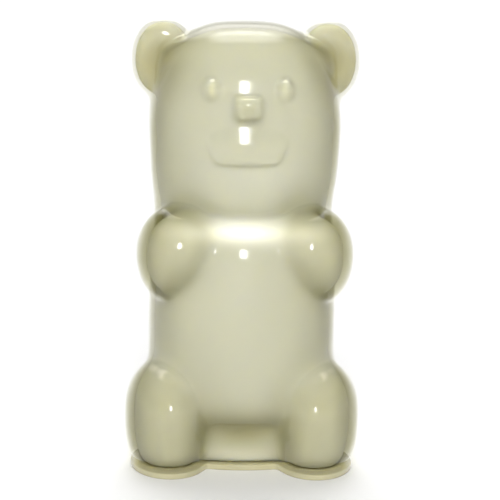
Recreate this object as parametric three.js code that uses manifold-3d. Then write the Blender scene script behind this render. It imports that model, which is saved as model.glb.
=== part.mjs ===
// A standing gummy bear moulded in translucent soft plastic, on a thin base plate that follows its feet.
// Millimetres, +Z up. The bear looks along -Y, and the origin is under its middle, on the surface it stands on.
import * as THREE from "three";
import { mergeVertices } from "three/addons/utils/BufferGeometryUtils.js";
import Module from "manifold-3d";

// Driving dimensions.
const HEIGHT = 178; // from the floor to the top of the ears
const PLATE_THICKNESS = 2.25;
const PLATE_EDGE = 0.5; // rounding of the plate's rim
const HEAD_HALF_WIDTH = 38.4;
const HEAD_HALF_DEPTH = 35;
const HEAD_MIDDLE = 135.5; // height of the head's widest level
const TORSO_HALF_WIDTH = 37.6;
const ARM_APART = 26.4; // from the middle of the body to the middle of an arm
const LEG_APART = 28.9;
const EAR_APART = 33;
const EYE_APART = 14.2;
const EYE_HEIGHT = 152.8;
const NOSE_HEIGHT = 146.3;

const NONE = [0, 0];
const X_AXIS = new THREE.Vector3(1, 0, 0);

// The rounded forms that the bear is put together from. Each one is a superellipsoid:
//   at      its middle
//   wide    half its size along X and along Y
//   tall    how far it reaches above and below its middle
//   plan    how square it is seen from above: 2 is an ellipse, 4 is nearly a rectangle
//   rise    how square its side profile is, above and below the middle
//   pinch   the share of its width that is gone at its top and at its bottom
//   lean    how far its top and its bottom are shifted outwards
//   slim    the share of its depth alone that is gone at its top and at its bottom
//   tip     degrees that it is turned about X
//   grid    steps around it and from its top to its bottom
// What isn't given is none.
const HEAD = {
  at: [0, 0, HEAD_MIDDLE],
  wide: [HEAD_HALF_WIDTH, HEAD_HALF_DEPTH],
  tall: [41.7, 42],
  plan: 2.4,
  rise: [3, 4],
  pinch: [0.15, 0.07],
  slim: [-0.13, 0.16],
  grid: [48, 32],
};
// The square shoulders of the head, under the ears.
const BROW = {
  at: [0, 4, 150],
  wide: [37.6, 24],
  tall: [22.5, 25],
  plan: 2.4,
  rise: [4.5, 4],
  grid: [40, 16],
};
const CHIN = {
  at: [0, -5, 120],
  wide: [27, 28.8],
  tall: [26, 18],
  plan: 2.4,
  rise: [2.5, 6],
  pinch: [0, 0.28],
  slim: [0, -0.28],
  grid: [36, 24],
};
const NECK = {
  at: [0, 3.5, 108],
  wide: [35.9, 25],
  tall: [25, 38],
  plan: 2.3,
  rise: [4, 4],
  grid: [40, 16],
};
const TORSO = {
  at: [0, 3, 52],
  wide: [TORSO_HALF_WIDTH, 30.5],
  tall: [50, 54],
  plan: 2.3,
  rise: [3.6, 8],
  grid: [40, 24],
};
const BELLY = {
  at: [0, -5.5, 59.5],
  wide: [36.6, 34.5],
  tall: [46, 43.5],
  plan: 2.2,
  rise: [4, 4.6],
  pinch: [0.02, 0.05],
  grid: [40, 28],
};
const ARM = {
  at: [ARM_APART, -21, 87.6],
  wide: [16.7, 20.5],
  tall: [19, 19.4],
  plan: 2.3,
  rise: [2.2, 2.05],
  pinch: [0, 0.2],
  lean: [-1, 4.2],
  tip: -10,
  grid: [28, 20],
};
const LEG = {
  at: [LEG_APART, -14.5, 22],
  wide: [18.1, 27.5],
  tall: [21.5, 24],
  plan: 2.15,
  rise: [2.2, 2.9],
  grid: [36, 26],
};
// An ear is a disc with a rounded rim, stood on edge: its own Z looks forward.
const EAR = {
  at: [EAR_APART, 3, HEIGHT - 16.2],
  wide: [12.7, 16.2],
  tall: [6.4, 6.4],
  plan: 2.1,
  rise: [3, 2.4],
  tip: 90,
  grid: [32, 14],
};
const EAR_DISH = {
  at: [EAR_APART + 0.6, -6.4, HEIGHT - 16.2],
  wide: [9, 4.2],
  tall: [12.8, 12.8],
  plan: 2,
  rise: [2, 2],
  grid: [24, 14],
};
// The muzzle is a raised panel of the face: its outline seen from the front, and the form that its front follows.
const MUZZLE = {
  corners: [
    [-12.4, 124],
    [12.4, 124],
    [16.4, 134],
    [5, 143.6],
    [-5, 143.6],
    [-16.4, 134],
  ],
  rounding: 2.6,
  front: {
    at: [0, 0, 127],
    wide: [34, HEAD_HALF_DEPTH + 2.2],
    tall: [30, 39],
    plan: 2.4,
    rise: [2.2, 4.2],
    pinch: [0, 0.07],
    grid: [48, 32],
  },
};
const NOSE = {
  at: [0, -34, NOSE_HEIGHT],
  wide: [5.4, 5.4],
  tall: [4.9, 4.9],
  plan: 3.4,
  rise: [3.4, 3.4],
  grid: [24, 14],
};
const EYE = {
  at: [EYE_APART, -31, EYE_HEIGHT],
  wide: [3.8, 4.4],
  tall: [4.8, 4.8],
  plan: 2,
  rise: [2, 2],
  grid: [18, 12],
};

// The base plate's pads: middle and half sizes, seen from above.
const PADS = [
  { at: [0, 3], wide: [36.4, 29.6] },
  { at: [LEG_APART, -15.3], wide: [15.6, 26.2] },
  { at: [-LEG_APART, -15.3], wide: [15.6, 26.2] },
];
const PAD_STEPS = 40;
const FAR = 400; // larger than the bear, for cutting tools
const EASE = 0.12; // how softly a form's pinch and lean begin at its middle

const plastic = new THREE.MeshPhysicalMaterial({
  color: 0xd3d2b2,
  roughness: 0.12,
  metalness: 0,
  transmission: 0.3,
});

const wasm = await Module();
wasm.setup();

// The same form on the bear's other side.
function mirrored(form) {
  const [x, y, z] = form.at;
  const lean = (form.lean ?? NONE).map((shift) => -shift);
  return { ...form, at: [-x, y, z], lean };
}

// A point on the unit sphere, moved along its ray onto the form and put in its place.
function settle(point, form) {
  const { at, wide, tall, plan, rise } = form;
  const { pinch = NONE, lean = NONE, slim = NONE, tip = 0 } = form;
  const end = point.z < 0 ? 1 : 0;
  const around = Math.abs(point.x) ** plan + Math.abs(point.y) ** plan;
  const reach =
    around ** (rise[end] / plan) + Math.abs(point.z) ** rise[end];
  point.divideScalar(reach ** (1 / rise[end]));
  const away = Math.hypot(point.z, EASE) - EASE;
  const left = 1 - pinch[end] * away;
  point.set(
    point.x * wide[0] * left + lean[end] * away,
    point.y * wide[1] * (left - slim[end] * away),
    point.z * tall[end],
  );
  point.applyAxisAngle(X_AXIS, THREE.MathUtils.degToRad(tip));
  return point.add(new THREE.Vector3(...at));
}

// A form's closed surface, with its poles at its top and bottom.
function surfaceOf(form) {
  const sphere = new THREE.SphereGeometry(1, ...form.grid);
  sphere.rotateX(Math.PI / 2);
  const places = sphere.getAttribute("position");
  const point = new THREE.Vector3();
  for (let i = 0; i < places.count; i++) {
    settle(point.fromBufferAttribute(places, i).normalize(), form);
    places.setXYZ(i, point.x, point.y, point.z);
  }
  return sphere;
}

function solidOf(geometry) {
  const bare = geometry.clone();
  bare.deleteAttribute("normal");
  bare.deleteAttribute("uv");
  const merged = mergeVertices(bare, 1e-4);
  return new wasm.Manifold(
    new wasm.Mesh({
      numProp: 3,
      vertProperties: merged.getAttribute("position").array,
      triVerts: new Uint32Array(merged.index.array),
    }),
  );
}

function geometryOf(solid) {
  const mesh = solid.getMesh();
  const geometry = new THREE.BufferGeometry();
  const places = new THREE.BufferAttribute(mesh.vertProperties, 3);
  geometry.setAttribute("position", places);
  geometry.setIndex(new THREE.BufferAttribute(mesh.triVerts, 1));
  return geometry;
}

const joined = (solids) => solids.reduce((whole, next) => whole.add(next));

// Everything below the given height.
function groundUpTo(height) {
  const block = new THREE.BoxGeometry(FAR, FAR, FAR);
  block.translate(0, 0, height - FAR / 2);
  return solidOf(block);
}

// The ears, each with a shallow dish in its front.
function ears() {
  return [EAR, mirrored(EAR)].map((ear, side) => {
    const dish = side ? mirrored(EAR_DISH) : EAR_DISH;
    return solidOf(surfaceOf(ear)).subtract(solidOf(surfaceOf(dish)));
  });
}

// A closed outline through the given corners, each one rounded.
function roundedOutline(corners, radius) {
  const outline = new THREE.Shape();
  const points = corners.map((corner) => new THREE.Vector2(...corner));
  points.forEach((corner, i) => {
    const before = points.at(i - 1);
    const after = points[(i + 1) % points.length];
    const into = before.clone().sub(corner).setLength(radius).add(corner);
    const out = after.clone().sub(corner).setLength(radius).add(corner);
    if (i === 0) outline.moveTo(into.x, into.y);
    else outline.lineTo(into.x, into.y);
    outline.quadraticCurveTo(corner.x, corner.y, out.x, out.y);
  });
  outline.closePath();
  return outline;
}

// The muzzle: the form that stands out of the face, kept only inside the outline.
function muzzle() {
  const outline = roundedOutline(MUZZLE.corners, MUZZLE.rounding);
  const prism = new THREE.ExtrudeGeometry(outline, {
    depth: 2 * HEAD_HALF_DEPTH,
    bevelEnabled: false,
    curveSegments: 4,
  });
  prism.rotateX(Math.PI / 2);
  return solidOf(prism).intersect(solidOf(surfaceOf(MUZZLE.front)));
}

// The bear above its plate, as one solid.
function bear() {
  const middle = [HEAD, BROW, CHIN, NECK, TORSO, BELLY, NOSE];
  const pairs = [ARM, LEG, EYE].flatMap((f) => [f, mirrored(f)]);
  const forms = [...middle, ...pairs].map((f) => solidOf(surfaceOf(f)));
  const whole = joined([...forms, ...ears(), muzzle()]);
  return whole.subtract(groundUpTo(PLATE_THICKNESS));
}

// The plate under the body and the feet: flat pads joined into one outline, with a rounded rim.
function plate() {
  const pads = PADS.map(({ at, wide }) => {
    const outline = new THREE.Shape();
    const half = wide.map((size) => size - PLATE_EDGE);
    outline.absellipse(...at, ...half, 0, 2 * Math.PI);
    const pad = new THREE.ExtrudeGeometry(outline, {
      depth: PLATE_THICKNESS - 2 * PLATE_EDGE,
      bevelThickness: PLATE_EDGE,
      bevelSize: PLATE_EDGE,
      bevelSegments: 2,
      curveSegments: PAD_STEPS,
    });
    pad.translate(0, 0, PLATE_EDGE);
    return solidOf(pad);
  });
  return joined(pads);
}

const group = new THREE.Group();

function place(name, solid, shift) {
  const geometry = geometryOf(solid);
  geometry.translate(...shift);
  const mesh = new THREE.Mesh(geometry, plastic);
  mesh.name = name;
  group.add(mesh);
}

// The body is set so that the whole bear's box is centred on the origin.
const body = bear();
const foot = plate();
const box = new THREE.Box3();
for (const solid of [body, foot]) {
  const { min, max } = solid.boundingBox();
  box.expandByPoint(new THREE.Vector3(...min));
  box.expandByPoint(new THREE.Vector3(...max));
}
const centre = box.getCenter(new THREE.Vector3());
const shift = [-centre.x, -centre.y, 0];
place("bear_body", body, shift);
place("base_plate", foot, shift);

export default group;
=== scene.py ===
"""A standing gummy bear in translucent soft plastic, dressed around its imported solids.

The bear is a clear outer skin over a milky core, and stands on a thin plate. Its shapes are worked out in
millimetres from rounded forms whose corners are blended, and are put into meshes in metres.
"""

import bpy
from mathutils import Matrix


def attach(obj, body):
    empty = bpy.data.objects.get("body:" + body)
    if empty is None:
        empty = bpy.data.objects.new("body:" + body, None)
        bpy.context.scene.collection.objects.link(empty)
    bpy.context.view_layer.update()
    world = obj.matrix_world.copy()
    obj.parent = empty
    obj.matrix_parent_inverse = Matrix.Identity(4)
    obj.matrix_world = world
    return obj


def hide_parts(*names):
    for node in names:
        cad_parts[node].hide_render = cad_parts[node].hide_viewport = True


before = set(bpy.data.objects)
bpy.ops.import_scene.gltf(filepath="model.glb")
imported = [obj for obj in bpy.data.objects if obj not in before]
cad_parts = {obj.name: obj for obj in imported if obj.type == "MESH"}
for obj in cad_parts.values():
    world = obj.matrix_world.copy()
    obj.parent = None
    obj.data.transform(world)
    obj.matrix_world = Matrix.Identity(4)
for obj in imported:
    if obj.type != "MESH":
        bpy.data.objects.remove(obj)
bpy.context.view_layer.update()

import logging
from dataclasses import dataclass, field, replace
from enum import Enum
from math import cos, radians

import bpy
import numpy as np
from mathutils import Matrix, Vector

log = logging.getLogger("gummy_bear")

Array = np.ndarray
Pair = tuple[float, float]
Place = tuple[float, float, float]

MM = 0.001
PLATE_TOP = 2.25  # mm, where the body stands on its plate
CORE_LIFT = 0.3  # mm between the plate and the core
TO_THE_BACK = 3.5  # mm that every form is moved back, so that the whole box is centred
EASE = 0.12  # how softly a form's pinch and lean begin at its middle
NUDGE = 0.04  # mm between the points that a slope is measured from
LEAST_SLOPE = 0.05  # the least square of a slope that a step is divided by
TINY = 1e-6  # the least length or gauge that anything is divided by
RING_STEPS = (72, 48)  # points round a rough form, and rings from its top to its bottom
SPREADS = 3  # how often points are moved half way to the mean of their neighbours
# Where a Mix node that is set to colours keeps its two colours and its result.
MIX_FIRST, MIX_SECOND, MIX_RESULT = 6, 7, 2


class End(Enum):
    """The two ends of a form, with their place in its pairs of values."""

    UPPER = 0
    LOWER = 1


def by_end(pair: Pair, upper: Array) -> Array:
    """Return a pair's value for each point, by the end that the point is on.

    Args:
        pair: The values for the upper and the lower end.
        upper: Whether each point is on the upper end.

    Returns:
        One value for each point.
    """
    return np.where(upper, pair[End.UPPER.value], pair[End.LOWER.value])


def smooth_min(a: Array, b: Array, width: float) -> Array:
    """Return the smaller of two distances, its inner corner filled over a width.

    Formula: the minimum, less width / 6 times the cube of how near the two are as a share of width.

    Args:
        a: Distances to one shape, in mm.
        b: Distances to the other shape, in mm.
        width: How far the fillet reaches, in mm.

    Returns:
        The distances to both shapes as one.
    """
    near = np.maximum(width - np.abs(a - b), 0.0) / width
    return np.minimum(a, b) - near**3 * width / 6.0


def smooth_max(a: Array, b: Array, width: float) -> Array:
    """Return the larger of two distances, its outer corner rounded over a width.

    Args:
        a: Distances to one shape, in mm.
        b: Distances to the other shape, in mm.
        width: How far the rounding reaches, in mm.

    Returns:
        The distances to what the two shapes share.
    """
    return -smooth_min(-a, -b, width)


@dataclass(frozen=True)
class Form:
    """A rounded form: a superellipsoid that may narrow, lean and tip.

    Attributes:
        at: Its middle, in mm.
        wide: Half its size along X and Y, in mm.
        tall: How far it reaches above and below its middle, in mm.
        plan: How square it is seen from above, where 2 is an ellipse.
        rise: How square its side profile is, above and below its middle.
        pinch: The share of its width that is gone at its top and at its bottom.
        lean: How far its top and its bottom are shifted outwards, in mm.
        slim: The share of its depth alone that is gone at its top and at its bottom.
        tip: Degrees that it is turned about X.
    """

    at: Place
    wide: Pair
    tall: Pair
    plan: float = 2.0
    rise: Pair = (2.0, 2.0)
    pinch: Pair = (0.0, 0.0)
    lean: Pair = (0.0, 0.0)
    slim: Pair = (0.0, 0.0)
    tip: float = 0.0

    def middle(self) -> Array:
        """Return the form's middle in the part's frame.

        Returns:
            Its x, y and z, in mm.
        """
        return np.array(self.at) + (0.0, TO_THE_BACK, 0.0)

    def turned(self) -> Array:
        """Return the matrix that tips the form about X.

        Returns:
            Three rows of three.
        """
        return np.array(Matrix.Rotation(radians(self.tip), 3, "X"))

    def mirrored(self) -> "Form":
        """Return the same form on the bear's other side.

        Returns:
            The mirrored form.
        """
        x, y, z = self.at
        return replace(self, at=(-x, y, z), lean=(-self.lean[0], -self.lean[1]))

    def inset(self, wall: float, ends: Pair = (1.0, 1.0)) -> "Form":
        """Return the form that lies a wall's thickness inside this one.

        A form that reaches under the top of the plate has no wall at its bottom.

        Args:
            wall: The thickness, in mm.
            ends: The shares of it at the top and at the bottom.

        Returns:
            The smaller form.
        """
        wide = tuple(size - wall for size in self.wide)
        under = 0.0 if self.at[2] - self.tall[1] < PLATE_TOP else wall * ends[1]
        return replace(self, wide=wide, tall=(self.tall[0] - wall * ends[0], self.tall[1] - under))

    def sunk(self, by: float) -> "Form":
        """Return the same form further back.

        Args:
            by: How much further, in mm.

        Returns:
            The moved form.
        """
        x, y, z = self.at
        return replace(self, at=(x, y + by, z))

    def section(self, level: Array, upper: Array) -> tuple[Array, Array, Array]:
        """Return the size of the form's level sections.

        Formula: the level, eased at zero, times the pinch is what the half width loses, and times
        the pinch and the slim together what the half depth loses.

        Args:
            level: How far each section is from the middle, as a share of the form's reach.
            upper: Whether each section is in the upper half.

        Returns:
            The half widths, the half depths and the shifts along X, in mm.
        """
        away = np.hypot(level, EASE) - EASE
        left = 1.0 - by_end(self.pinch, upper) * away
        deep = left - by_end(self.slim, upper) * away
        return self.wide[0] * left, self.wide[1] * deep, by_end(self.lean, upper) * away

    def distance(self, points: Array) -> Array:
        """Return how far points lie outside the form, along rays from its middle.

        Formula: with x, y and z as shares of the half sizes, the gauge is
        ((|x|^plan + |y|^plan)^(rise/plan) + |z|^rise)^(1/rise), and the distance is the length of the
        ray times (1 - 1 / gauge).

        Args:
            points: Rows of x, y, z in mm.

        Returns:
            Distances in mm, negative inside.
        """
        ray = (points - self.middle()) @ self.turned()
        upper = ray[:, 2] >= 0.0
        level = np.abs(ray[:, 2]) / by_end(self.tall, upper)
        rise = by_end(self.rise, upper)
        wide, deep, shift = self.section(np.minimum(level, 1.0), upper)
        around = (np.abs(ray[:, 0] - shift) / wide) ** self.plan + (np.abs(ray[:, 1]) / deep) ** self.plan
        gauge = (around ** (rise / self.plan) + level**rise) ** (1.0 / rise)
        length = np.linalg.norm(ray, axis=1)
        return length * (1.0 - 1.0 / np.maximum(gauge, TINY))

    def rings(self, steps: tuple[int, int]) -> Array:
        """Return the form's surface as rings from its top to its bottom.

        Formula: every direction of a unit sphere is divided by its gauge, and then scaled, shifted and
        tipped as the form is.

        Args:
            steps: Points round a ring, and rings from pole to pole.

        Returns:
            An array of rings, points and x, y, z, in mm.
        """
        turn = np.linspace(0.0, 2.0 * np.pi, steps[0], endpoint=False)
        fall = np.linspace(0.0, np.pi, steps[1] + 1)[:, None]
        x, y = np.sin(fall) * np.cos(turn), np.sin(fall) * np.sin(turn)
        z = np.cos(fall) * np.ones_like(turn)
        upper = z >= 0.0
        rise = by_end(self.rise, upper)
        around = np.abs(x) ** self.plan + np.abs(y) ** self.plan
        reach = (around ** (rise / self.plan) + np.abs(z) ** rise) ** (1.0 / rise)
        x, y, z = x / reach, y / reach, z / reach
        wide, deep, shift = self.section(z, upper)
        places = np.stack((x * wide + shift, y * deep, z * by_end(self.tall, upper)), axis=-1)
        return places @ self.turned().T + self.middle()


@dataclass(frozen=True)
class Panel:
    """The muzzle: a raised panel whose outline is a rounded polygon seen from the front.

    Attributes:
        corners: The outline's corners as x and z, in mm, anticlockwise.
        rounding: How soft the corners are, in mm.
        front: The form that the panel's front follows.
        edge: How far the panel's outer edge is rounded, in mm.
    """

    corners: tuple[Pair, ...]
    rounding: float
    front: Form
    edge: float

    def inset(self, wall: float) -> "Panel":
        """Return the panel with its front further in.

        Args:
            wall: How much further, in mm.

        Returns:
            The thinner panel.
        """
        return replace(self, front=self.front.inset(wall))

    def distance(self, points: Array) -> Array:
        """Return how far points lie outside the panel.

        Formula: the outline's distance is a soft maximum of the distances to its sides, and the panel
        is what the outline shares with the form that its front follows, ahead of the bear's middle.

        Args:
            points: Rows of x, y, z in mm.

        Returns:
            Distances in mm, negative inside.
        """
        ends = np.array(self.corners)
        along = np.roll(ends, -1, axis=0) - ends
        out = np.stack((along[:, 1], -along[:, 0]), axis=1)
        out /= np.linalg.norm(out, axis=1, keepdims=True)
        sides = points[:, (0, 2)] @ out.T - np.sum(ends * out, axis=1)
        most = sides.max(axis=1)
        soft = np.exp((sides - most[:, None]) / self.rounding).sum(axis=1)
        outline = most + self.rounding * np.log(soft)
        behind = points[:, 1] - self.front.middle()[1]
        inside = np.maximum(outline, behind)
        return smooth_max(inside, self.front.distance(points), self.edge)


@dataclass(frozen=True)
class Fillets:
    """How far the fillets between the forms reach, in mm."""

    neck: float = 6.0
    trunk: float = 4.0
    chin: float = 3.0
    leg: float = 6.0
    arm: float = 5.0
    ear: float = 4.0
    dish: float = 3.0
    jaw: float = 5.0
    muzzle: float = 2.0
    nose: float = 1.2
    eye: float = 1.0
    sole: float = 1.2


# The core's fillets are wider, so that its creases stay as soft as they look through the skin.
CORE_FILLETS = Fillets(neck=12.0, trunk=8.0, chin=6.0, leg=12.0, arm=10.0, jaw=10.0, nose=2.5, eye=1.8)

HEAD = Form(
    (0.0, 0.0, 135.5), (38.4, 35.0), (41.7, 42.0), 2.4, (3.0, 4.0), (0.15, 0.07), slim=(-0.13, 0.16)
)
BROW = Form((0.0, 4.0, 150.0), (37.6, 24.0), (22.5, 25.0), 2.4, (4.5, 4.0))
CHIN = Form(
    (0.0, -5.0, 120.0), (27.0, 28.8), (26.0, 18.0), 2.4, (2.5, 6.0), (0.0, 0.28), slim=(0.0, -0.28)
)
NECK = Form((0.0, 3.5, 108.0), (35.9, 25.0), (25.0, 38.0), 2.3, (4.0, 4.0))
TORSO = Form((0.0, 3.0, 52.0), (37.6, 30.5), (50.0, 54.0), 2.3, (3.6, 8.0))
BELLY = Form((0.0, -5.5, 59.5), (36.6, 34.5), (46.0, 43.5), 2.2, (4.0, 4.6), (0.02, 0.05))
ARM = Form(
    (26.4, -21.0, 87.6), (16.7, 20.5), (19.0, 19.4), 2.3, (2.2, 2.05), (0.0, 0.2), (-1.0, 4.2), tip=-10.0
)
LEG = Form((28.9, -14.5, 22.0), (18.1, 27.5), (21.5, 24.0), 2.15, (2.2, 2.9))
EAR = Form((33.0, 3.0, 161.8), (12.7, 16.2), (6.4, 6.4), 2.1, (3.0, 2.4), tip=90.0)
EAR_DISH = Form((33.6, -6.4, 161.8), (9.0, 4.2), (12.8, 12.8))
NOSE = Form((0.0, -34.0, 146.3), (5.4, 5.4), (4.9, 4.9), 3.4, (3.4, 3.4))
EYE = Form((14.2, -31.0, 152.8), (3.8, 4.4), (4.8, 4.8))
MUZZLE = Panel(
    corners=((-12.4, 124.0), (12.4, 124.0), (16.4, 134.0), (5.0, 143.6), (-5.0, 143.6), (-16.4, 134.0)),
    rounding=1.0,
    front=Form((0.0, 0.0, 127.0), (34.0, 37.2), (30.0, 39.0), 2.4, (2.2, 4.2), (0.0, 0.07)),
    edge=2.0,
)
# How far the core's muzzle is inset, and how far its nose and its eyes lie behind those of the skin, in mm.
MUZZLE_WALL = 3.5
NOSE_SUNK = 4.8
EYE_SUNK = 4.2


@dataclass(frozen=True)
class Layer:
    """A form of the body with the clear wall over it.

    Attributes:
        form: The form.
        wall: The wall's thickness on its sides, in mm.
        ends: The shares of that thickness at its top and at its bottom.
    """

    form: Form
    wall: float
    ends: Pair = (1.0, 1.0)


# The forms of one side.
LAYERS = {
    "head": Layer(HEAD, 3.2),
    "brow": Layer(BROW, 3.6),
    "chin": Layer(CHIN, 3.2, (1.0, 0.1)),
    "neck": Layer(NECK, 3.4),
    "torso": Layer(TORSO, 3.2, (0.1, 1.0)),
    "belly": Layer(BELLY, 3.2, (0.2, 0.2)),
    "arm": Layer(ARM, 4.2),
    "leg": Layer(LEG, 4.0, (0.6, 1.0)),
    "ear": Layer(EAR, 1.6),
}


@dataclass(frozen=True)
class Mesh:
    """A surface as arrays.

    Attributes:
        vertices: Rows of x, y, z in mm.
        quads: Faces as rows of four vertex numbers.
        triangles: Faces as rows of three vertex numbers.
    """

    vertices: Array
    quads: Array
    triangles: Array

    @staticmethod
    def from_rings(rings: Array, top: Array, bottom: Array) -> "Mesh":
        """Close rings of points with a fan at each pole.

        Formula: neighbouring points of neighbouring rings make a quad, and each end ring makes
        triangles with its pole.

        Args:
            rings: An array of rings, points and x, y, z, in mm.
            top: The pole above the first ring.
            bottom: The pole below the last ring.

        Returns:
            The closed surface.
        """
        count, around = rings.shape[:2]
        number = np.arange(count * around).reshape(count, around)
        after = np.roll(number, -1, axis=1)
        quads = np.stack((number[:-1], number[1:], after[1:], after[:-1]), axis=-1)
        first, last = count * around, count * around + 1
        upper = np.stack((np.full(around, first), number[0], after[0]), axis=-1)
        lower = np.stack((np.full(around, last), after[-1], number[-1]), axis=-1)
        vertices = np.vstack((rings.reshape(-1, 3), top, bottom))
        return Mesh(vertices, quads.reshape(-1, 4), np.vstack((upper, lower)))

    @staticmethod
    def joined(meshes: list["Mesh"]) -> "Mesh":
        """Return several surfaces as one, with their vertices renumbered.

        Args:
            meshes: The surfaces.

        Returns:
            The one surface.
        """
        starts = np.cumsum([0] + [len(m.vertices) for m in meshes])
        quads = [m.quads + start for m, start in zip(meshes, starts)]
        triangles = [m.triangles + start for m, start in zip(meshes, starts)]
        vertices = np.vstack([m.vertices for m in meshes])
        return Mesh(vertices, np.vstack(quads), np.vstack(triangles))

    def to_object(self, name: str) -> bpy.types.Object:
        """Return a Blender object that holds this surface, in metres.

        Args:
            name: The object's name.

        Returns:
            The object, linked to the scene.
        """
        data = bpy.data.meshes.new(name)
        faces = self.quads.tolist() + self.triangles.tolist()
        data.from_pydata((self.vertices * MM).tolist(), [], faces)
        data.shade_smooth()
        item = bpy.data.objects.new(name, data)
        bpy.context.collection.objects.link(item)
        return item


def form_mesh(form: Form, floor: float) -> Mesh:
    """Return a form's closed surface, with what lies under a floor pressed flat on it.

    Args:
        form: The rounded form.
        floor: The floor's height, in mm.

    Returns:
        The surface.
    """
    rings = form.rings(RING_STEPS)
    rings[..., 2] = np.maximum(rings[..., 2], floor)
    return Mesh.from_rings(rings[1:-1], rings[0, 0], rings[-1, 0])


@dataclass(frozen=True)
class PaintedLight:
    """A soft round region of painted light: the plastic's colour is made darker there for painted shade, or
    paler for painted highlight.

    Attributes:
        at: Its middle, in mm.
        wide: How far it reaches along each axis, in mm.
        strength: How strong it is at its middle, from 0 to 1.
    """

    at: Place
    wide: Place
    strength: float

    def share(self, points: Array) -> Array:
        """Return how strongly the painted light lies on points: the strength times a bell curve of the
        distance.

        Args:
            points: Rows of x, y, z in mm.

        Returns:
            Shares from 0 to 1.
        """
        side = np.abs(points[:, :1])
        away = (np.hstack((side, points[:, 1:])) - self.at) / self.wide
        return self.strength * np.exp(-np.sum(away**2, axis=1))


# Painted light on the core, each with the mesh attribute that holds it: painted shade, where the plastic's
# colour is made darker and browner, and painted highlight, where it is made paler.
REGIONS = {
    "painted_shade": (
        # Painted shade on the ears, in the recess between the legs, low on the legs, on the arms and beside
        # the inner feet.
        PaintedLight((36.0, 3.0, 160.0), (12.0, 20.0, 16.0), 0.95),
        PaintedLight((0.0, -24.0, 16.0), (17.0, 14.0, 9.0), 0.9),
        PaintedLight((29.0, -24.0, 24.0), (16.0, 22.0, 20.0), 0.42),
        PaintedLight((30.0, -20.0, 88.0), (16.0, 20.0, 18.0), 0.42),
        PaintedLight((14.0, -36.0, 22.0), (8.0, 14.0, 12.0), 0.2),
    ),
    "pale": (
        # Painted highlight on the chest just under the chin, and low between the legs just above the plate.
        PaintedLight((0.0, -30.0, 97.5), (22.0, 9.0, 4.0), 0.95),
        PaintedLight((0.0, -24.0, 4.0), (18.0, 9.0, 5.0), 0.35),
    ),
}


def socket_values(node: bpy.types.Node, values: dict[str, object]) -> None:
    """Set a node's input sockets.

    Args:
        node: The node.
        values: The sockets' names with their values.
    """
    for name, value in values.items():
        node.inputs[name].default_value = value


def mottling_group() -> bpy.types.NodeTree:
    """Make the node group for uneven plastic, which every finish of the bear uses.

    Its Tone runs from 0 to 1 in soft clouds, and its Ripple is the gentle unevenness of a moulded face.

    Returns:
        The node group.
    """
    tree = bpy.data.node_groups.new("uneven_plastic", "ShaderNodeTree")
    panel = tree.interface
    for name, value in (("Cloud Scale", 30.0), ("Ripple Scale", 90.0)):
        panel.new_socket(name, in_out="INPUT", socket_type="NodeSocketFloat").default_value = value
    for name in ("Tone", "Ripple"):
        panel.new_socket(name, in_out="OUTPUT", socket_type="NodeSocketFloat")
    nodes, links = tree.nodes, tree.links
    start, end = nodes.new("NodeGroupInput"), nodes.new("NodeGroupOutput")
    place = nodes.new("ShaderNodeTexCoord")
    for name, output, detail in (("Cloud", "Tone", 3.0), ("Ripple", "Ripple", 1.0)):
        noise = nodes.new("ShaderNodeTexNoise")
        socket_values(noise, {"Detail": detail, "Roughness": 0.5})
        links.new(place.outputs["Object"], noise.inputs["Vector"])
        links.new(start.outputs[name + " Scale"], noise.inputs["Scale"])
        links.new(noise.outputs["Fac"], end.inputs[output])
    return tree


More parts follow.
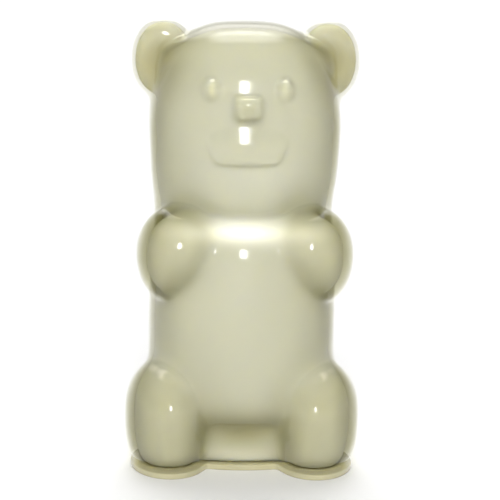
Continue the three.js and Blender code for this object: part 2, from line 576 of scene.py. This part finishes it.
@dataclass(frozen=True)
class Finish:
    """One plastic finish. Colours are linear red, green and blue.

    Attributes:
        name: The material's name.
        dark: The base colour where the clouds are darkest.
        light: The base colour where the clouds are lightest.
        shine: Roughness, lowest and highest.
        ripple: How deep the ripple's bump is, in mm.
        cloud_scale: Clouds for each metre.
        plain: Values set on the shader's own sockets.
        lets_lamps: Whether light from lamps passes straight through it.
        regions: The base colour where each of the mesh's attributes is 1.
        absorbs: The colour and the density that its inside absorbs light with.
    """

    name: str
    dark: Place
    light: Place
    shine: Pair
    ripple: float
    cloud_scale: float
    plain: dict[str, object]
    lets_lamps: bool = False
    regions: dict[str, Place] = field(default_factory=dict)
    absorbs: tuple[Place, float] | None = None

    def build(self, group: bpy.types.NodeTree) -> bpy.types.Material:
        """Make the finish's material.

        Args:
            group: The uneven plastic group.

        Returns:
            The material.
        """
        material = bpy.data.materials.new(self.name)
        material.use_nodes = True
        nodes, links = material.node_tree.nodes, material.node_tree.links
        shader, output = nodes["Principled BSDF"], nodes["Material Output"]
        socket_values(shader, self.plain)
        uneven = nodes.new("ShaderNodeGroup")
        uneven.node_tree = group
        uneven.inputs["Cloud Scale"].default_value = self.cloud_scale
        self.colour(material, uneven, shader)
        gloss = nodes.new("ShaderNodeMapRange")
        socket_values(gloss, {"To Min": self.shine[0], "To Max": self.shine[1]})
        links.new(uneven.outputs["Tone"], gloss.inputs["Value"])
        links.new(gloss.outputs["Result"], shader.inputs["Roughness"])
        bump = nodes.new("ShaderNodeBump")
        socket_values(bump, {"Strength": 1.0, "Distance": self.ripple * MM})
        links.new(uneven.outputs["Ripple"], bump.inputs["Height"])
        links.new(bump.outputs["Normal"], shader.inputs["Normal"])
        if self.lets_lamps:
            self.open_to_lamps(material, shader, output)
            self.coat_outside(material, shader)
        if self.absorbs:
            absorb = nodes.new("ShaderNodeVolumeAbsorption")
            socket_values(absorb, {"Color": (*self.absorbs[0], 1.0), "Density": self.absorbs[1]})
            links.new(absorb.outputs["Volume"], output.inputs["Volume"])
        return material

    def colour(self, material: bpy.types.Material, uneven: bpy.types.Node, shader: bpy.types.Node) -> None:
        """Give the shader its cloudy base colour, led over to each region's by the mesh's attributes.

        Args:
            material: The material.
            uneven: Its node of the uneven plastic group.
            shader: Its shader.
        """
        nodes, links = material.node_tree.nodes, material.node_tree.links
        tone = nodes.new("ShaderNodeMix")
        tone.data_type = "RGBA"
        tone.inputs[MIX_FIRST].default_value = (*self.dark, 1.0)
        tone.inputs[MIX_SECOND].default_value = (*self.light, 1.0)
        links.new(uneven.outputs["Tone"], tone.inputs["Factor"])
        colour = tone.outputs[MIX_RESULT]
        for name, toward in self.regions.items():
            share, both = nodes.new("ShaderNodeAttribute"), nodes.new("ShaderNodeMix")
            share.attribute_name = name
            both.data_type = "RGBA"
            both.inputs[MIX_SECOND].default_value = (*toward, 1.0)
            links.new(share.outputs["Fac"], both.inputs["Factor"])
            links.new(colour, both.inputs[MIX_FIRST])
            colour = both.outputs[MIX_RESULT]
        links.new(colour, shader.inputs["Base Color"])

    @staticmethod
    def coat_outside(material: bpy.types.Material, shader: bpy.types.Node) -> None:
        """Give the shader its full coat on the outer side of its faces, and none on their inner side.

        Args:
            material: The material.
            shader: Its shader.
        """
        nodes, links = material.node_tree.nodes, material.node_tree.links
        side, outside = nodes.new("ShaderNodeNewGeometry"), nodes.new("ShaderNodeMath")
        outside.operation = "SUBTRACT"
        outside.inputs[0].default_value = 1.0
        links.new(side.outputs["Backfacing"], outside.inputs[1])
        links.new(outside.outputs["Value"], shader.inputs["Coat Weight"])

    @staticmethod
    def open_to_lamps(material: bpy.types.Material, shader: bpy.types.Node, output: bpy.types.Node) -> None:
        """Let rays from lamps pass straight through a clear shader, so that what is inside is lit.

        Args:
            material: The material.
            shader: Its shader.
            output: Its output node.
        """
        nodes, links = material.node_tree.nodes, material.node_tree.links
        path, clear = nodes.new("ShaderNodeLightPath"), nodes.new("ShaderNodeBsdfTransparent")
        both = nodes.new("ShaderNodeMixShader")
        links.new(path.outputs["Is Shadow Ray"], both.inputs[0])
        links.new(shader.outputs["BSDF"], both.inputs[1])
        links.new(clear.outputs["BSDF"], both.inputs[2])
        links.new(both.outputs["Shader"], output.inputs["Surface"])


CLEAR_SKIN = Finish(
    name="clear_skin",
    dark=(0.97, 0.97, 0.95),
    light=(1.0, 1.0, 0.99),
    shine=(0.02, 0.05),
    ripple=0.03,
    cloud_scale=24.0,
    plain={
        "Transmission Weight": 1.0,
        "IOR": 1.0,
        "Coat Roughness": 0.1,
        "Coat IOR": 1.5,
    },
    lets_lamps=True,
    absorbs=((0.5, 0.48, 0.2), 76.0),
)
MILKY_CORE = Finish(
    name="milky_core",
    dark=(0.40, 0.40, 0.34),
    light=(0.47, 0.47, 0.41),
    shine=(0.5, 0.7),
    ripple=0.05,
    cloud_scale=28.0,
    plain={
        "Subsurface Weight": 1.0,
        "Subsurface Radius": (1.0, 0.95, 0.6),
        "Subsurface Scale": 0.009,
        "Specular IOR Level": 0.1,
    },
    # The base colours of the painted shade, dark brown, and of the painted highlight, near white.
    regions={"painted_shade": (0.28, 0.26, 0.14), "pale": (0.88, 0.88, 0.84)},
)
PLATE_PLASTIC = Finish(
    name="plate_plastic",
    dark=(0.44, 0.41, 0.25),
    light=(0.50, 0.47, 0.30),
    shine=(0.12, 0.25),
    ripple=0.03,
    cloud_scale=40.0,
    plain={
        "Subsurface Weight": 0.3,
        "Subsurface Radius": (1.0, 0.95, 0.6),
        "Subsurface Scale": 0.002,
        "Coat Weight": 0.5,
        "Coat Roughness": 0.05,
    },
)


@dataclass
class Piece:
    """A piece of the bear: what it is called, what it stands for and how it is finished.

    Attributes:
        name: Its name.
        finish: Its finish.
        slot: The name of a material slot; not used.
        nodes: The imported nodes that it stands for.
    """

    name: str
    finish: Finish
    slot: str
    nodes: tuple[str, ...]

    def shape(self) -> bpy.types.Object:
        """Make the piece's mesh.

        Returns:
            The object that holds it.
        """
        raise NotImplementedError

    def build(self, group: bpy.types.NodeTree) -> None:
        """Make the piece, give it its material and tie it to the frame.

        Args:
            group: The uneven plastic group.
        """
        piece = self.shape()
        piece.data.materials.clear()
        piece.data.materials.append(self.finish.build(group))
        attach(piece, "root")
        if self.nodes:
            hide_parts(*self.nodes)
        log.info("%s: %d vertices", piece.name, len(piece.data.vertices))


@dataclass
class Moulding(Piece):
    """The bear's blended body, out to a given depth under its surface.

    Attributes:
        wall: How much of each form's wall its surface lies inside the outer one.
        voxel: The width of its faces, in mm.
        floor: The height that it is cut off at, in mm.
        fillets: How far its fillets reach.
        regions: Its regions of painted shade, made darker, and of painted highlight, made paler, by the
            mesh attribute that holds them.
        rounds: How often its points settle, before and after they are spread evenly.
    """

    wall: float
    voxel: float
    floor: float
    fillets: Fillets = Fillets()
    regions: dict[str, tuple[PaintedLight, ...]] = field(default_factory=dict)
    rounds: tuple[int, int] = (6, 3)

    def forms(self) -> dict[str, Form]:
        """Return the named forms of one side, inset by the wall.

        Returns:
            The forms by name, with the nose and the eye sunk instead.
        """
        forms = {name: each.form.inset(each.wall * self.wall, each.ends) for name, each in LAYERS.items()}
        return forms | {"nose": NOSE.sunk(self.wall * NOSE_SUNK), "eye": EYE.sunk(self.wall * EYE_SUNK)}

    def distance(self, points: Array) -> Array:
        """Return how far points lie outside the blended body.

        Formula: the forms' distances are joined one after another by the smooth minimum, each with
        its own fillet, for the point's mirror image on the right side, and cut off at the floor by
        the smooth maximum.

        Args:
            points: Rows of x, y, z in mm.

        Returns:
            Distances in mm, negative inside.
        """
        side = np.hstack((np.abs(points[:, :1]), points[:, 1:]))
        far = {name: form.distance(side) for name, form in self.forms().items()}
        fillets = self.fillets
        head = smooth_min(smooth_min(far["head"], far["brow"], fillets.trunk), far["chin"], fillets.jaw)
        upper = smooth_min(head, far["neck"], fillets.neck)
        trunk = smooth_min(far["torso"], far["belly"], fillets.trunk)
        whole = smooth_min(upper, trunk, fillets.chin)
        whole = smooth_min(whole, far["leg"], fillets.leg)
        whole = smooth_min(whole, far["arm"], fillets.arm)
        dish = EAR_DISH.distance(side) - self.wall * LAYERS["ear"].wall
        ear = smooth_max(far["ear"], -dish, fillets.dish)
        whole = smooth_min(whole, ear, fillets.ear)
        whole = smooth_min(whole, MUZZLE.inset(self.wall * MUZZLE_WALL).distance(side), fillets.muzzle)
        whole = smooth_min(whole, far["nose"], fillets.nose)
        whole = smooth_min(whole, far["eye"], fillets.eye)
        return smooth_max(whole, self.floor - points[:, 2], fillets.sole)

    def slope(self, points: Array) -> Array:
        """Return the distance's slope at points, by central differences along each axis.

        Args:
            points: Rows of x, y, z in mm.

        Returns:
            A slope along X, Y and Z for each point.
        """
        steps = np.eye(3) * NUDGE
        rise = [self.distance(points + step) - self.distance(points - step) for step in steps]
        return np.stack(rise, axis=1) / (2.0 * NUDGE)

    def settled(self, points: Array, rounds: int) -> Array:
        """Move points onto the surface.

        Formula: in each round a point moves against the slope by its distance over the square of the
        slope, at most one face's width.

        Args:
            points: Rows of x, y, z in mm.
            rounds: How many rounds.

        Returns:
            The moved points.
        """
        for _ in range(rounds):
            slope = self.slope(points)
            steep = np.maximum(np.sum(slope**2, axis=1), LEAST_SLOPE)
            step = slope * (self.distance(points) / steep)[:, None]
            length = np.linalg.norm(step, axis=1, keepdims=True)
            points = points - step * np.minimum(1.0, self.voxel / np.maximum(length, TINY))
        return points

    def rough(self) -> Mesh:
        """Return the forms as overlapping closed surfaces, before they are fused.

        Returns:
            The surfaces as one mesh.
        """
        forms = self.forms()
        pairs = [forms.pop(name) for name in ("arm", "leg", "ear", "eye")]
        every = [*forms.values(), *pairs, *(form.mirrored() for form in pairs)]
        return Mesh.joined([form_mesh(form, self.floor) for form in every])

    def shape(self) -> bpy.types.Object:
        """Fuse the forms and settle the fused surface.

        Returns:
            The finished object.
        """
        item = self.rough().to_object(self.name)
        fuse = item.modifiers.new("fuse", "REMESH")
        fuse.mode = "VOXEL"
        fuse.voxel_size = self.voxel * MM
        fused = bpy.data.meshes.new_from_object(item.evaluated_get(bpy.context.evaluated_depsgraph_get()))
        item.modifiers.clear()
        item.data = fused
        fused.name = self.name
        points = np.empty(len(fused.vertices) * 3)
        fused.vertices.foreach_get("co", points)
        edges = np.empty(len(fused.edges) * 2, dtype=np.int64)
        fused.edges.foreach_get("vertices", edges)
        points = self.settled(points.reshape(-1, 3) / MM, self.rounds[0])
        points = self.settled(self.evened(points, edges.reshape(-1, 2)), self.rounds[1])
        fused.vertices.foreach_set("co", (points * MM).ravel())
        fused.shade_smooth()
        fused.update()
        self.mark(fused, points)
        return item

    def mark(self, data: bpy.types.Mesh, points: Array) -> None:
        """Write how much painted shade and painted highlight each vertex has into the mesh's attributes.

        Formula: the share that a region leaves alone is one less its own share, and what none of them
        leaves alone is one less the product of those.

        Args:
            data: The mesh.
            points: Its vertices as rows of x, y, z in mm.
        """
        for name, regions in self.regions.items():
            left = [1.0 - region.share(points) for region in regions]
            shares = data.attributes.new(name, "FLOAT", "POINT")
            shares.data.foreach_set("value", 1.0 - np.prod(left, axis=0))

    @staticmethod
    def evened(points: Array, edges: Array) -> Array:
        """Move each point half way to the mean of its neighbours, several times over.

        Args:
            points: Rows of x, y, z in mm.
            edges: Rows of two point numbers.

        Returns:
            The moved points.
        """
        count = len(points)
        degree = np.bincount(edges.ravel(), minlength=count)
        for _ in range(SPREADS):
            total = np.stack(
                [
                    np.bincount(edges[:, 0], points[edges[:, 1], axis], count)
                    + np.bincount(edges[:, 1], points[edges[:, 0], axis], count)
                    for axis in range(3)
                ],
                axis=1,
            )
            points = 0.5 * points + 0.5 * total / degree[:, None]
        return points


@dataclass
class BasePlate(Piece):
    """The thin plate under the body and the feet.

    Attributes:
        pads: Middle and half sizes of the flat pads that it joins, in mm.
        thickness: Its thickness, in mm.
        edge: The rounding of its rim, in mm.
        fillet: How far the fillets between the pads reach, in mm.
        hub: The point that its outline is measured from.
        reach: A distance from the hub that lies outside the plate all round, in mm.
        steps: Points round its outline.
        bends: Rings round each rounding of its rim.
        halvings: How often the outline is narrowed down.
        face_rings: The rings of its flat faces, as shares of the way from the hub to the rim.
    """

    pads: tuple[tuple[Pair, Pair], ...] = (
        ((0.0, 3.0), (36.4, 29.6)),
        ((28.9, -15.3), (15.6, 26.2)),
        ((-28.9, -15.3), (15.6, 26.2)),
    )
    thickness: float = PLATE_TOP
    edge: float = 0.55
    fillet: float = 3.0
    hub: Pair = (0.0, 24.0)
    reach: float = 90.0
    steps: int = 480
    bends: int = 6
    halvings: int = 40
    face_rings: tuple[float, ...] = (0.25, 0.5, 0.75, 0.93)

    def distance(self, points: Array) -> Array:
        """Return how far points of the plane lie outside the joined pads.

        Args:
            points: Rows of x and y in mm.

        Returns:
            Distances in mm, negative inside.
        """
        whole = np.full(len(points), np.inf)
        for at, wide in self.pads:
            ray = points - (at[0], at[1] + TO_THE_BACK)
            gauge = np.maximum(np.hypot(*(ray / wide).T), TINY)
            pad = np.hypot(*ray.T) * (1.0 - 1.0 / gauge)
            whole = smooth_min(whole, pad, self.fillet)
        return whole

    def outline(self) -> Array:
        """Return the plate's outline.

        Formula: along each ray from the hub, the distance's zero is found by halving.

        Returns:
            Rows of x and y in mm, anticlockwise.
        """
        turn = np.linspace(0.0, 2.0 * np.pi, self.steps, endpoint=False)
        ray = np.stack((np.cos(turn), np.sin(turn)), axis=1)
        near, far = np.zeros(self.steps), np.full(self.steps, self.reach)
        for _ in range(self.halvings):
            half = (near + far) / 2.0
            inside = self.distance(ray * half[:, None] + self.hub) < 0.0
            near, far = np.where(inside, half, near), np.where(inside, far, half)
        return ray * near[:, None] + self.hub

    def shape(self) -> bpy.types.Object:
        """Carry the rim's profile round the outline and close it above and below.

        Formula: the profile is a quarter circle at the top, a straight side and a quarter circle at the
        bottom; rings nearer to the hub are the outline scaled towards it.

        Returns:
            The finished object.
        """
        outline = self.outline()
        along = np.roll(outline, -1, axis=0) - np.roll(outline, 1, axis=0)
        out = np.stack((along[:, 1], -along[:, 0]), axis=1)
        out /= np.linalg.norm(out, axis=1, keepdims=True)
        bend = np.linspace(0.0, np.pi / 2.0, self.bends)
        inset = self.edge * (1.0 - np.sin(bend))
        upper = self.thickness - self.edge * (1.0 - np.cos(bend))
        lower = self.edge * (1.0 - np.cos(bend[::-1]))
        inset, height = np.concatenate((inset, inset[::-1])), np.concatenate((upper, lower))
        rim = outline - out * inset[:, None, None]
        shares = np.array(self.face_rings)[:, None, None]
        face = rim[0] * shares + np.array(self.hub) * (1.0 - shares)
        flat = np.concatenate((face, rim, face[::-1]))
        tops, bottoms = np.full(len(face), self.thickness), np.zeros(len(face))
        levels = np.concatenate((tops, height, bottoms))
        levels = np.repeat(levels[:, None, None], self.steps, axis=1)
        rings = np.concatenate((flat, levels), axis=2)
        top, bottom = (*self.hub, self.thickness), (*self.hub, 0.0)
        return Mesh.from_rings(rings, np.array(top), np.array(bottom)).to_object(self.name)


@dataclass(frozen=True)
class Patch:
    """A large soft light of the room, seen from the bear as a round patch.

    Attributes:
        toward: Its direction.
        near: Degrees from its middle at which it begins to fade.
        far: Degrees from its middle at which it ends.
        power: How bright it is.
    """

    toward: Place
    near: float
    far: float
    power: float


@dataclass(frozen=True)
class Window:
    """A soft rectangular lamp that faces the bear.

    Attributes:
        at: Its middle, in metres.
        faces: The point that it faces, in metres.
        size: Its width and height, in metres.
        power: Its power in watts.
    """

    at: Place
    faces: Place
    size: Pair
    power: float

    def build(self) -> None:
        """Add the lamp to the scene."""
        data = bpy.data.lights.new("window", "AREA")
        data.shape = "RECTANGLE"
        data.size, data.size_y = self.size
        data.energy = self.power
        item = bpy.data.objects.new("window", data)
        item.location = self.at
        item.rotation_euler = (Vector(self.at) - Vector(self.faces)).to_track_quat("Z", "Y").to_euler()
        bpy.context.collection.objects.link(item)


@dataclass(frozen=True)
class Key:
    """The soft key light, which stands far off in front of the bear and doesn't show in its gloss.

    Attributes:
        azimuth: Degrees that it stands to the bear's left.
        elevation: Degrees that it stands above the floor.
        softness: Degrees that it spans, seen from the bear.
        power: Its strength in watts for each square metre.
    """

    azimuth: float
    elevation: float
    softness: float
    power: float

    def build(self) -> None:
        """Add the light to the scene."""
        data = bpy.data.lights.new("key", "SUN")
        data.angle, data.energy = radians(self.softness), self.power
        item = bpy.data.objects.new("key", data)
        item.rotation_euler = (radians(90.0 - self.elevation), 0.0, radians(self.azimuth))
        item.visible_glossy = False
        bpy.context.collection.objects.link(item)


@dataclass
class Studio:
    """The plain pale floor, the soft lights and the camera.

    Attributes:
        aim: The point that the camera looks at, in metres.
        azimuth: Degrees that the camera stands to the bear's left.
        elevation: Degrees that it looks down.
        roll: Degrees that it is turned about its own axis.
        away: Its distance from the aim, in metres.
        lens: Its focal length, in mm.
        sensor: The width of its sensor, in mm.
        ground: The floor's corners, in metres.
        pale: The floor's colour.
        glow: How bright the room is between its lights.
        patches: The room's large lights.
        key: The key light.
        window: The lamp in front of the bear.
    """

    aim: Place = (0.0029, 0.0035, 0.0849)
    azimuth: float = -2.5
    elevation: float = 10.0
    roll: float = 1.0
    away: float = 1.1
    lens: float = 196.1
    sensor: float = 36.0
    ground: tuple[Place, ...] = ((-6.0, -4.0, 0.0), (6.0, -4.0, 0.0), (6.0, 9.0, 0.0), (-6.0, 9.0, 0.0))
    pale: Place = (0.9, 0.9, 0.9)
    glow: float = 0.12
    patches: tuple[Patch, ...] = (
        Patch((0.0, 0.42, 0.91), 8.0, 26.0, 3.6),
        Patch((0.0, 0.78, 0.63), 10.0, 28.0, 2.6),
        Patch((0.0, 0.0, -1.0), 90.0, 125.0, 0.95),
    )
    key: Key = Key(azimuth=-3.5, elevation=35.0, softness=26.0, power=2.15)
    window: Window = Window(at=(0.0, -1.13, 0.50), faces=(0.0, 0.0, 0.09), size=(0.09, 0.22), power=2.4)

    def camera(self) -> None:
        """Place the camera and make it the scene's."""
        data = bpy.data.cameras.new("camera")
        data.lens = self.lens
        data.sensor_width = self.sensor
        item = bpy.data.objects.new("camera", data)
        bpy.context.collection.objects.link(item)
        turn = Matrix.Rotation(radians(self.azimuth), 4, "Z")
        tilt = Matrix.Rotation(radians(90.0 - self.elevation), 4, "X")
        lean = Matrix.Rotation(radians(self.roll), 4, "Z")
        back = Matrix.Translation((0.0, 0.0, self.away))
        item.matrix_world = Matrix.Translation(self.aim) @ turn @ tilt @ lean @ back
        bpy.context.scene.camera = item

    def floor(self) -> None:
        """Lay the pale floor."""
        data = bpy.data.meshes.new("floor")
        data.from_pydata(self.ground, [], [(0, 1, 2, 3)])
        item = bpy.data.objects.new("floor", data)
        bpy.context.collection.objects.link(item)
        material = bpy.data.materials.new("pale_floor")
        material.use_nodes = True
        shader = material.node_tree.nodes["Principled BSDF"]
        values = {"Base Color": (*self.pale, 1.0), "Roughness": 0.6, "Specular IOR Level": 0.1}
        socket_values(shader, values)
        data.materials.append(material)

    def world(self) -> None:
        """Light the room: an even glow, with a soft bright patch for each of the large lights."""
        room = bpy.data.worlds.new("room")
        room.use_nodes = True
        nodes, links = room.node_tree.nodes, room.node_tree.links
        back = nodes["Background"]
        back.inputs["Color"].default_value = (1.0, 1.0, 1.0, 1.0)
        way = nodes.new("ShaderNodeTexCoord")
        total = None
        for patch in self.patches:
            turn = nodes.new("ShaderNodeVectorMath")
            turn.operation = "DOT_PRODUCT"
            turn.inputs[1].default_value = Vector(patch.toward).normalized()
            links.new(way.outputs["Generated"], turn.inputs[0])
            fade = nodes.new("ShaderNodeMapRange")
            fade.interpolation_type = "SMOOTHSTEP"
            ends = {"From Min": cos(radians(patch.far)), "From Max": cos(radians(patch.near))}
            socket_values(fade, ends | {"To Max": patch.power})
            links.new(turn.outputs["Value"], fade.inputs["Value"])
            both = nodes.new("ShaderNodeMath")
            both.inputs[0].default_value = self.glow
            if total:
                links.new(total, both.inputs[0])
            links.new(fade.outputs["Result"], both.inputs[1])
            total = both.outputs["Value"]
        links.new(total, back.inputs["Strength"])
        bpy.context.scene.world = room

    def build(self) -> None:
        """Set up the floor, the room, the lamps and the camera."""
        self.floor()
        self.world()
        self.key.build()
        self.window.build()
        self.camera()
        view = bpy.context.scene.view_settings
        view.view_transform = "Standard"
        view.look = "None"


def main() -> None:
    """Build the bear, its plate and the studio, in that order."""
    logging.basicConfig(level=logging.INFO)
    group = mottling_group()
    skin = Moulding(
        name="outer_skin",
        finish=CLEAR_SKIN,
        slot="body_plastic",
        nodes=("bear_body",),
        wall=0.0,
        voxel=1.0,
        floor=PLATE_TOP,
    )
    core = Moulding(
        name="milky_core",
        finish=MILKY_CORE,
        slot="body_plastic",
        nodes=(),
        wall=1.0,
        voxel=1.3,
        floor=PLATE_TOP + CORE_LIFT,
        fillets=CORE_FILLETS,
        regions=REGIONS,
    )
    plate = BasePlate(name="foot_plate", finish=PLATE_PLASTIC, slot="plate_plastic", nodes=("base_plate",))
    for piece in (skin, core, plate):
        piece.build(group)
    Studio().build()


if __name__ == "__main__":
    main()
